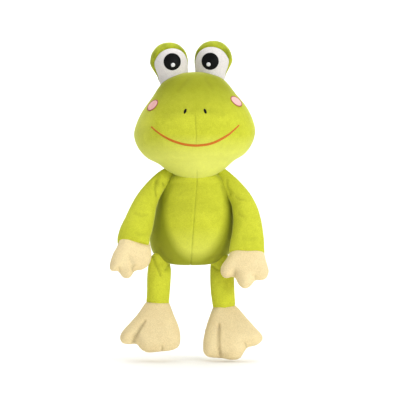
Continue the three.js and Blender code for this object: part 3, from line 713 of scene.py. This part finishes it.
# ---------- Mouth ----------
# The mouth is one wide smile, in a raised line of orange satin stitch. It is embroidered straight through the
# face panel, so it follows the panel's curve.
def lofted(rings):
    """A closed skin over rings of points."""
    bm = bmesh.new()
    bmesh.ops.create_circle(bm, segments=len(rings[0]), radius=1, cap_ends=False)
    ring = bm.verts[:]
    for v, co in zip(ring, rings[0]):
        v.co = co
    for place in rings[1:]:
        edges = [bm.edges.get(pair) for pair in zip(ring, ring[1:] + ring[:1])]
        made = set(bmesh.ops.extrude_edge_only(bm, edges=edges)["geom"])
        ring = [next(e.other_vert(v) for e in v.link_edges if e.other_vert(v) in made) for v in ring]
        for v, co in zip(ring, place):
            v.co = co
    bmesh.ops.holes_fill(bm, edges=bm.edges, sides=len(ring))
    outward(bm)
    return bm


def on_skin(skin, x, z):
    """The place and the normal of a skin where a look from the front meets it, or passes it closest."""
    eye = camera.location
    place, normal, _, _ = skin.ray_cast(eye, (Vector((x, 0, z)) - eye).normalized())
    if place is None:
        place, normal, _, _ = skin.find_nearest(Vector((x, -0.02, z)))
    return place, normal


def embroidered_line(skin, path, half_width, height, spacing):
    """A line of satin stitch: its ridges are the single stitches."""
    rings = []
    points = [on_skin(skin, x, z) for x, z in path]
    length = sum((b[0] - a[0]).length for a, b in zip(points, points[1:]))
    count = int(length / spacing)
    for i in range(count + 1):
        t = i / count * (len(points) - 1)
        low = min(int(t), len(points) - 2)
        place = points[low][0].lerp(points[low + 1][0], t - low)
        out = points[low][1].lerp(points[low + 1][1], t - low).normalized()
        along = (points[low + 1][0] - points[low][0]).normalized()
        aside = along.cross(out).normalized()
        taper = 0.62 + 0.5 * smooth(min(i, count - i) / count, 0, 0.3)
        ends = min(1, (min(i, count - i) + 1) / 4) * taper
        size = ends * (1.0 if i % 2 else 0.86)
        angles = [math.tau * k / 10 for k in range(10)]
        wide, tall = half_width * size, height * size
        rings.append([place + aside * (wide * math.cos(a)) + out * (tall * math.sin(a)) for a in angles])
    return lofted(rings)


orange_stitch = stitched("orange_stitch", (0.62, 0.155, 0.006), 1500, -1.0)
MOUTH = [
    (-54.3, 171), (-47.5, 165), (-39, 159), (-30, 154.2), (-21, 150.8), (-10, 148), (3, 147), (15, 148),
    (25, 150.6), (35, 155.4), (44, 161), (51, 167), (57.4, 173),
]
smile = splined([(x * MM, z * MM) for x, z in MOUTH], 6)
mouth = finished("mouth_embroidery", embroidered_line(head_skin, smile, 1.5 * MM, 0.85 * MM, 0.45 * MM))
sewn_on(mouth, orange_stitch, "orange_stitch", ["mouth_stitching"])


# ---------- Nostrils and cheeks ----------
# The nostrils are two small slanted ovals of black satin stitch. Each cheek is an oval of pink felt, held
# down by a close plum-red stitch round its edge.
def on_face(skin, at, slope, long, short, section, sides=32):
    """An oval piece that follows a skin. Its section is [share of the radius, height over the skin]."""
    across = Vector((math.cos(slope), math.sin(slope)))
    up = Vector((-across.y, across.x))

    def place(x, y, z):
        flat = Vector(at) + across * (x * long) + up * (y * short)
        point, out = on_skin(skin, flat.x, flat.y)
        return point + out * z

    closed = section[0][0] > 0
    return turned(section, sides, place, closed)


black_stitch = stitched("black_stitch", (0.003, 0.003, 0.003), 1700, 0.5, 0.1 * MM, 0.1)
plum_stitch = stitched("plum_stitch", (0.42, 0.085, 0.075), 1500, 0.8)
PINKS = ((0.86, 0.50, 0.48), (0.78, 0.40, 0.38), (0.93, 0.68, 0.66))
pink_felt = plush("pink_felt", PINKS, 0.7, 1500, 0.5 * MM, 0.3)
domed = [(0, -0.6), (1, -0.6), (1, 0.1), (0.93, 0.45), (0.75, 0.68), (0.45, 0.8), (0, 0.85)]
felt = [(0, -0.6), (1, -0.6), (1, 0.35), (0.92, 0.6), (0.7, 0.75), (0.35, 0.85), (0, 0.85)]
FACE = [
    ("right", (-11.1, 190.4), 68, (-52, 197.6), 46.7),
    ("left", (14.1, 190.4), 113, (53.3, 202.6), -40.7),
]
CHEEK_LONG = 8.0 * MM
CHEEK_SHORT = 3.9 * MM
EDGE_STITCH = 0.6 * MM
EDGE_STITCHES = 64
EDGE_REACH = 1.02
for side, nostril_at, nostril_slope, cheek_at, cheek_slope in FACE:
    spot = [value * MM for value in nostril_at]
    section = [(r, h * MM) for r, h in domed]
    bm = on_face(head_skin, spot, math.radians(nostril_slope), 3.4 * MM, 1.6 * MM, section)
    sewn_on(finished(f"nostril_embroidery_{side}", bm), black_stitch, "black_stitch", [f"nostril_{side}"])

    spot = [value * MM for value in cheek_at]
    slope = math.radians(cheek_slope)
    section = [(r, h * MM) for r, h in felt]
    bm = on_face(head_skin, spot, slope, CHEEK_LONG, CHEEK_SHORT, section)
    sewn_on(finished(f"cheek_felt_{side}", bm), pink_felt, "pink_felt", [f"cheek_patch_{side}"])

    # One ridge for each stitch round the edge.
    rings = []
    for i in range(2 * EDGE_STITCHES):
        angle = math.tau * i / (2 * EDGE_STITCHES)
        flat = Vector((CHEEK_LONG * math.cos(angle), CHEEK_SHORT * math.sin(angle))) * EDGE_REACH
        away = flat.normalized()
        turn = Matrix.Rotation(slope, 2)
        middle = Vector(spot) + turn @ flat
        place, out = on_skin(head_skin, middle.x, middle.y)
        aside = Vector((*(turn @ away), 0)).xzy
        aside = (aside - out * aside.dot(out)).normalized()
        size = EDGE_STITCH * (1.0 if i % 2 else 0.82)
        ring = []
        for k in range(8):
            around = math.tau * k / 8
            lift = 0.45 * MM + 0.75 * size * math.sin(around)
            ring.append(place + out * lift + aside * (1.25 * size * math.cos(around)))
        rings.append(ring)
    bm = lofted(rings + [rings[0]])
    bmesh.ops.remove_doubles(bm, verts=bm.verts, dist=1e-6)
    inside = [f for f in bm.faces if len(f.verts) > 4]
    bmesh.ops.delete(bm, geom=inside, context="FACES_ONLY")
    sewn_on(finished(f"cheek_edge_stitch_{side}", bm), plum_stitch, "plum_stitch", [f"cheek_edging_{side}"])


# ---------- Eyes ----------
# Two stuffed bulbs on top of the head. A lime hood covers the back and top of each, a white plush panel fills
# its front, and the pupil and its light dot are embroidered on the white.
WHITES = ((0.72, 0.685, 0.665), (0.64, 0.60, 0.57), (0.82, 0.79, 0.76))
white_plush = plush("white_plush", WHITES, 0.4, 1000, 0.9 * MM, 0.3)
# Painted shade: the hoods are the lime plush painted darker, as shade over the tops of the eye bulbs.
hood_plush = plush("hood_plush", ((0.42, 0.46, 0.022), (0.22, 0.26, 0.010), LIME_EDGE_HIGHLIGHT), 1.0)
white_stitch = stitched("white_stitch", (0.80, 0.80, 0.80), 1700, 0.2)
EYE_RADIUS = 23.6 * MM
EYE_AT = Vector((28.3, 8, 163.5)) * MM
WHITE_RADIUS = 22.1 * MM
HOOD_HEM = 0.5 * MM
PUPIL_RADIUS = 10.8 * MM
GLINT_RADIUS = 2.5 * MM
WHITE_AIM = (1.8 * MM, -4.0 * MM)
PUPIL_AT = {"right": (3.4 * MM, -1.6 * MM), "left": (5.2 * MM, -3.0 * MM)}
GLINT_AT = {"right": (4.2 * MM, -5.6 * MM), "left": (7.2 * MM, -6.7 * MM)}
eye_outline = [
    (0, -34 / 23.7), (0.6, -33 / 23.7), (0.8, -1.1), (0.83, -0.8), (0.91, -0.5), (0.985, -0.22), (1, 0.02),
    (0.9, 0.44), (0.62, 0.79), (0.32, 0.95), (0, 1),
]
eye_outline = splined([(r * EYE_RADIUS, z * EYE_RADIUS) for r, z in eye_outline], 6)
for side, sign in (("right", -1), ("left", 1)):
    eye_matrix = HEAD_PLACE @ Matrix.Translation((sign * EYE_AT.x + 0.3 * MM, EYE_AT.y, EYE_AT.z))

    def eye_place(x, y, z):
        towards = -sign * 5.5 * MM * (1 - smooth(z, -26 * MM, 0))
        return eye_matrix @ Vector((x + towards, y, z))

    aim = Vector((-sign * WHITE_AIM[0], 0, WHITE_AIM[1]))
    aim.y = -math.sqrt(EYE_RADIUS**2 - WHITE_RADIUS**2 - aim.length_squared)
    out = (eye_matrix.to_3x3() @ aim).normalized()
    rim = eye_matrix @ aim
    bm = turned(eye_outline, 64, eye_place)
    seam(bm, rim, out, 1.0 * MM, 1.0 * MM)
    eye_skin = BVHTree.FromBMesh(bm)
    for name, keep_front in ((f"eye_white_{side}", True), (f"eye_hood_{side}", False)):
        half = bm.copy()
        whole = half.verts[:] + half.edges[:] + half.faces[:]
        bmesh.ops.bisect_plane(
            half,
            geom=whole,
            dist=1e-7,
            plane_co=rim,
            plane_no=out,
            clear_inner=keep_front,
            clear_outer=not keep_front,
        )
        bmesh.ops.holes_fill(half, edges=half.edges, sides=0)
        if not keep_front:
            half.normal_update()
            for v in half.verts:
                behind = (rim - v.co).dot(out)
                hem = smooth(behind, 0.6 * MM, 3 * MM) * (1 - smooth(behind, 8 * MM, 20 * MM))
                v.co += v.normal * (HOOD_HEM * hem)
        panel = finished(f"{name}_panel", half)
        if keep_front:
            sewn_on(panel, white_plush, "white_plush", [f"eye_white_{side}"])
        else:
            sewn_on(panel, hood_plush, "lime_plush", [f"eye_back_{side}", f"eye_filling_{side}"])
    bm.free()

    for name, spot, radius, lift, finish, slot, node in (
        ("pupil", PUPIL_AT[side], PUPIL_RADIUS, 0.2 * MM, black_stitch, "black_stitch", "pupil"),
        ("glint", GLINT_AT[side], GLINT_RADIUS, 1.05 * MM, white_stitch, "white_stitch", "pupil_glint"),
    ):
        local = Vector((-sign * spot[0], 0, spot[1]))
        local.y = -math.sqrt(EYE_RADIUS**2 - local.length_squared)
        centre = eye_matrix @ local
        section = [(r, h * MM + lift) for r, h in domed]
        bm = on_face(eye_skin, (centre.x, centre.z), 0, radius, radius, section, 48)
        sewn_on(finished(f"{name}_embroidery_{side}", bm), finish, slot, [f"{node}_{side}"])


# ---------- Arms ----------
# Each arm is a stuffed tube of plush that widens from the shoulder seam, hangs beside the body and comes a
# little forward. It is gathered where it is sewn on, and its cuff is sewn to the hand.
PRESSURE = 4
SWELL_STEPS = 20
LIMB_VOXEL = 3.5 * MM


def stuffed(piece, cap):
    """Lets the filling swell a closed cover by cloth simulation, by no more than the cap at any point."""
    scene = bpy.context.scene
    rest = [v.co.copy() for v in piece.data.vertices]
    cloth = piece.modifiers.new("filling", "CLOTH")
    cloth.settings.quality = 5
    cloth.settings.mass = 0.15
    cloth.settings.use_pressure = True
    cloth.settings.uniform_pressure_force = PRESSURE
    cloth.settings.effector_weights.gravity = 0
    cloth.point_cache.frame_start = 1
    cloth.point_cache.frame_end = SWELL_STEPS
    for step in range(1, SWELL_STEPS + 1):
        scene.frame_set(step)
    swollen = piece.evaluated_get(bpy.context.evaluated_depsgraph_get())
    moved = [v.co.copy() for v in swollen.data.vertices]
    piece.modifiers.remove(cloth)
    scene.frame_set(1)
    for v, start, end in zip(piece.data.vertices, rest, moved):
        step = end - start
        v.co = start + step * (min(1, cap / step.length) if step.length > 0 else 1)
    return piece


def remeshed(piece, voxel):
    """An even skin of small squares over a closed piece."""
    remesh = piece.modifiers.new("even", "REMESH")
    remesh.mode = "VOXEL"
    remesh.voxel_size = voxel
    return settled(piece, remesh)


def divided(piece):
    """A finer, smoother skin."""
    finer = piece.modifiers.new("finer", "SUBSURF")
    finer.levels = 1
    finer.render_levels = 1
    return settled(piece, finer)


def creased(piece, folds):
    """Presses folds into a finished piece."""
    bm = bmesh.new()
    bm.from_mesh(piece.data)
    for path, depth, width in folds:
        crease(bm, path, depth, width)
    bm.to_mesh(piece.data)
    bm.free()
    return piece


def tube(stations, crown, sides=32, steps=8):
    """A tube through stations of (x, y, z, half width, half depth). Its end is nearly flat, and its start is
    domed: crown is the dome's height as a share of the half width."""
    path = splined([(*at_depth(*station[:3]), *station[3:]) for station in stations], steps)
    frames = []
    for i, p in enumerate(path):
        along = Vector((path[min(i + 1, len(path) - 1)] - path[max(i - 1, 0)])[:3]).normalized()
        side = along.cross(Vector((0, 1, 0))).normalized()
        frames.append((Vector(p[:3]), along, side, side.cross(along), p[3], p[4]))
    rings = []
    first, last = frames[0], frames[-1]
    caps = [math.radians(a) for a in (12, 30, 48, 66, 80)]
    for a in caps:
        at, along, side, deep, wide, thick = first
        middle = at - along * (crown * wide * math.cos(a))
        rings.append((middle, side, deep, wide * math.sin(a), thick * math.sin(a)))
    rings += [(at, side, deep, wide, thick) for at, _, side, deep, wide, thick in frames]
    for a in reversed(caps):
        at, along, side, deep, wide, thick = last
        middle = at + along * (0.15 * thick * math.cos(a))
        rings.append((middle, side, deep, wide * math.sin(a), thick * math.sin(a)))
    angles = [math.tau * k / sides for k in range(sides)]
    return lofted([
        [at + side * (wide * math.cos(a)) + deep * (thick * math.sin(a)) for a in angles]
        for at, side, deep, wide, thick in rings
    ])


def limb(name, form, crown, swell):
    """A stuffed tube with the folds of its cover."""
    stations = [[value * MM for value in station] for station in form["stations"]]
    piece = finished(name, tube(stations, crown))
    stuffed(remeshed(piece, LIMB_VOXEL), swell)
    return creased(divided(piece), form["folds"])


ARM_FORMS = {
    "right": {
        "stations": [
            (-30.5, -4.5, 112.5, 8.8, 8.5), (-36, -7.5, 108.5, 9.7, 9), (-42.5, -12, 102, 11, 10),
            (-50.6, -17, 92, 12.4, 11.5), (-59.2, -23, 78.2, 14.6, 13), (-65.2, -30, 63.1, 17, 14),
            (-70, -37.5, 48, 19, 14.5), (-75.6, -45, 32.8, 20.2, 14.5), (-76.6, -50, 22.7, 20.4, 13.6),
        ],
        "folds": [
            ([(-48.5, 103), (-49, 94), (-46.5, 84)], 2.6, 2.4),
            ([(-42, 108), (-42.5, 96), (-42, 88)], -1.3, 2.2),
            ([(-39, 101), (-37, 96)], 1.6, 1.8),
            ([(-74, 62), (-66, 58), (-58, 60)], 0.8, 3.5),
            ([(-72, 36), (-64, 34), (-58, 36)], 0.6, 4),
        ],
    },
    "left": {
        "stations": [
            (34, -3.5, 111.6, 9, 8.5), (37.5, -5.5, 107.8, 10, 9), (43, -9, 101, 11.6, 10),
            (51, -13, 91, 13, 11.5), (59.2, -17.5, 78.2, 14.8, 13), (64.6, -22, 63.1, 17.2, 14),
            (67, -27, 48, 19, 14.5), (67.6, -33, 32.8, 20.8, 14.5),
            (66.8, -38.5, 17.7, 22.4, 14.5), (66.4, -42, 9.6, 23, 13.6),
        ],
        "folds": [
            ([(53, 82), (58, 79), (63, 79)], 1.4, 2.6),
            ([(57, 60), (63, 57)], 1.0, 3),
            ([(41, 104), (42, 95), (46, 84)], 1.4, 2.2),
            ([(62, 30), (72, 28), (80, 31)], 0.6, 4),
        ],
    },
}
for side, form in ARM_FORMS.items():
    arm = limb(f"arm_plush_{side}", form, 0.7, 1.2 * MM)
    nodes = [f"arm_cover_{side}", f"arm_filling_{side}", f"shoulder_stitching_{side}"]
    sewn_on(arm, lime_plush, "lime_plush", nodes)


# ---------- Hands ----------
# Each hand is two cream plush panels sewn together along a three-fingered outline, turned out and stuffed.
# The seam runs round the rim, and the open end is sunk into the cuff.
PAD_VOXEL = 2.2 * MM
PAD_SWELL = 1.0 * MM
CUFF_SUNK = 0.42


def sewn_pad(name, outline, plane, thickness, crown, folds):
    """A pad from an outline seen from the front as [x, z]. plane is a point in its middle layer, its way
    across and its way up. crown is how far from the rim it reaches its full half thickness."""
    at, across, up = plane
    out = across.cross(up).normalized()
    eye = camera.location
    rim = []
    for x, z in splined([Vector(p) * MM for p in outline + outline[:1]], 5)[:-1]:
        look = Vector((x, 0, z)) - eye
        spot = eye + look * ((at - eye).dot(out) / look.dot(out)) - at
        rim.append(Vector((spot.dot(across), spot.dot(up))))
    bm = bmesh.new()
    loop = [bm.verts.new((p.x, 0, p.y)) for p in rim]
    face = bm.faces.new(loop)
    slab = 3 * MM
    bmesh.ops.translate(bm, verts=loop, vec=(0, -slab, 0))
    drawn = bmesh.ops.extrude_face_region(bm, geom=[face])["geom"]
    drawn = [g for g in drawn if isinstance(g, bmesh.types.BMVert)]
    bmesh.ops.translate(bm, verts=drawn, vec=(0, 2 * slab, 0))
    pad = remeshed(finished(name, bm), PAD_VOXEL)
    spans = list(zip(rim, rim[1:] + rim[:1]))
    for v in pad.data.vertices:
        flat = Vector((v.co.x, v.co.z))
        away = 1.0
        for a, b in spans:
            t = min(max((flat - a).dot(b - a) / (b - a).length_squared, 0), 1)
            away = min(away, (flat - a.lerp(b, t)).length)
        share = 1 - min(away / crown, 1)
        sunk = 1 - CUFF_SUNK * smooth(v.co.z, -3 * MM, 4 * MM)
        full = thickness * sunk * math.sqrt(1 - share * share)
        v.co.y = min(max(v.co.y / slab, -1), 1) * (full * 0.94 + 0.06 * thickness)
    bm = bmesh.new()
    bm.from_mesh(pad.data)
    axes = {"use_axis_x": True, "use_axis_y": True, "use_axis_z": True}
    for _ in range(2):
        bmesh.ops.smooth_vert(bm, verts=bm.verts, factor=0.5, **axes)
    for v in bm.verts:
        v.co = at + across * v.co.x + up * v.co.z + out * v.co.y
    outward(bm)
    bm.to_mesh(pad.data)
    bm.free()
    stuffed(pad, PAD_SWELL)
    return creased(divided(pad), folds)


CREAMS = ((0.80, 0.66, 0.37), (0.73, 0.58, 0.31), (0.88, 0.77, 0.52))
cream_plush = plush("cream_plush", CREAMS, 0.6, 1000, 1.0 * MM, 0.25)
HAND_THICKNESS = 12.5 * MM
HAND_CROWN = 13 * MM
HANDS = {
    "right": {
        "cuff": (-76.8, -50, 22.7),
        "down": (-0.10, -0.42, -0.90),
        "turn": 24,
        "outline": [
            (-94.5, 26), (-97, 20), (-102, 11), (-105.6, -1), (-105.6, -8), (-101.4, -12), (-95, -11),
            (-91.4, -15.8), (-86, -20.8), (-80.4, -19.8), (-76, -13), (-71.5, -10.6), (-64.4, -9.6),
            (-57.6, -4.6), (-54.6, 5), (-55.2, 19), (-57.5, 26), (-64, 36), (-88, 36),
        ],
        "folds": [
            ([(-73.5, -5), (-76.5, -8), (-75.5, -14)], 2.2, 1.5),
            ([(-94, -7), (-94, -13)], 1.3, 1.8),
            ([(-80, 6), (-76, -2), (-77, -8)], 0.8, 5),
        ],
    },
    "left": {
        "cuff": (66.4, -42, 11),
        "down": (0.0, -0.45, -0.89),
        "turn": 0,
        "outline": [
            (45.4, 14), (43.6, 9), (40.4, 4), (34.4, -4.5), (32.6, -11.4), (35, -17.6), (40.4, -19.8),
            (48, -18.6), (50.8, -20), (55.5, -28), (62.6, -33.4), (70, -32), (74.8, -27), (79, -22.8),
            (87.6, -22.4), (93.6, -17.6), (94.8, -10), (92, 0), (89.6, 9), (87.6, 14), (80, 23), (53, 23),
        ],
        "folds": [([(52, -13), (50.6, -20)], 1.3, 1.8), ([(77.8, -18), (78.2, -24)], 1.1, 1.8)],
    },
}
for side, form in HANDS.items():
    cuff = Vector(form["cuff"]) * MM
    up = -Vector(form["down"]).normalized()
    across = Vector((0, 1, 0)).cross(up).normalized()
    turn = Matrix.Rotation(math.radians(form["turn"]), 3, up)
    across = turn @ across
    plane = (cuff, across, up)
    hand = sewn_pad(f"hand_plush_{side}", form["outline"], plane, HAND_THICKNESS, HAND_CROWN, form["folds"])
    sewn_on(hand, cream_plush, "cream_plush", [f"hand_cover_{side}", f"hand_filling_{side}"])


# ---------- Legs ----------
# Each leg is a short stuffed tube of plush. It is sewn on at the hip, where it folds under the belly, and its
# cuff is sewn to the foot.
LEG_FORMS = {
    "right": {
        "stations": [
            (-43, -19, 2, 13.6, 7), (-43.8, -18.5, -9, 15, 12), (-44.3, -22.5, -22, 15.3, 13.8),
            (-44.9, -22.5, -38, 14.9, 13.4), (-46, -22.5, -52.5, 14.5, 12.6),
        ],
        "folds": [
            ([(-54, 8), (-50, 0), (-45, -10), (-42, -17)], 2.0, 2.2),
            ([(-27, 0), (-33, -6), (-36, -10)], 1.8, 2.0),
            ([(-30, -10), (-32, -22)], -1.0, 3),
        ],
    },
    "left": {
        "stations": [
            (35, -19, -1, 14.6, 7), (35.4, -18.5, -12, 15.4, 12), (35.7, -22.5, -26, 15.5, 13.8),
            (36.6, -22.5, -42, 15.2, 13.4), (38.5, -22.5, -58, 14.6, 12.6),
        ],
        "folds": [
            ([(22, -5), (28, -9), (36, -11)], 1.6, 2.2),
            ([(50, -8), (45, -16)], 1.2, 2.2),
            ([(30, -26), (40, -24)], 0.7, 3),
        ],
    },
}
for side, form in LEG_FORMS.items():
    leg = limb(f"leg_plush_{side}", form, 0.85, 0.8 * MM)
    nodes = [f"leg_cover_{side}", f"leg_filling_{side}", f"hip_stitching_{side}"]
    sewn_on(leg, lime_plush, "lime_plush", nodes)


# ---------- Feet ----------
# Each foot is an upper and a sole of cream plush, sewn together along a three-toed outline and stuffed. It
# hangs tipped forward from the ankle seam.
FOOT_TILT = math.radians(30)
FOOT_THICKNESS = 12 * MM
FOOT_CROWN = 15 * MM
FEET = {
    "right": {
        "ankle": (-46, -22.5, -54),
        "outline": [
            (-60.8, -50), (-71.9, -65.6), (-83.3, -78.2), (-92.1, -88.3), (-94.4, -96), (-91, -102),
            (-81, -104), (-73, -104), (-68.1, -110), (-59.3, -114.4), (-49.2, -114), (-36.6, -112.6),
            (-24, -110), (-17.2, -104), (-16.2, -93.4), (-18.9, -80.8), (-25.2, -65.6), (-31.4, -50),
            (-38, -46), (-54, -46),
        ],
        "folds": [
            ([(-62, -74), (-68, -82), (-73, -92), (-77, -103)], 2.6, 1.4),
            ([(-66, -80), (-73, -92), (-76, -104)], 1.0, 5),
            ([(-40.6, -107), (-40.4, -113)], 1.4, 1.5),
        ],
    },
    "left": {
        "ankle": (38.5, -22.5, -58.5),
        "outline": [
            (24, -56), (17.7, -73.2), (13.3, -88.3), (11.2, -102.2), (11.4, -112.6), (16.4, -118.8),
            (26.5, -120.4), (35.3, -121), (48, -123.2), (58, -121.4), (63.4, -114), (69.4, -107.4),
            (80.8, -104), (87.4, -97.4), (85.8, -92), (77, -82), (65.6, -69.4), (53.2, -55), (46, -51),
            (32, -51),
        ],
        "folds": [
            ([(31.2, -78), (30.6, -92), (30.8, -106), (33, -119)], 2.6, 1.4),
            ([(31, -84), (30.8, -104), (33, -119)], 1.0, 5),
            ([(65.4, -102), (67.6, -109)], 1.5, 1.9),
        ],
    },
}
for side, form in FEET.items():
    ankle = Vector(form["ankle"]) * MM
    up = Vector((0, math.sin(FOOT_TILT), math.cos(FOOT_TILT)))
    plane = (ankle, Vector((1, 0, 0)), up)
    foot = sewn_pad(f"foot_plush_{side}", form["outline"], plane, FOOT_THICKNESS, FOOT_CROWN, form["folds"])
    nodes = [f"foot_upper_{side}", f"foot_sole_{side}", f"foot_filling_{side}"]
    sewn_on(foot, cream_plush, "cream_plush", nodes)
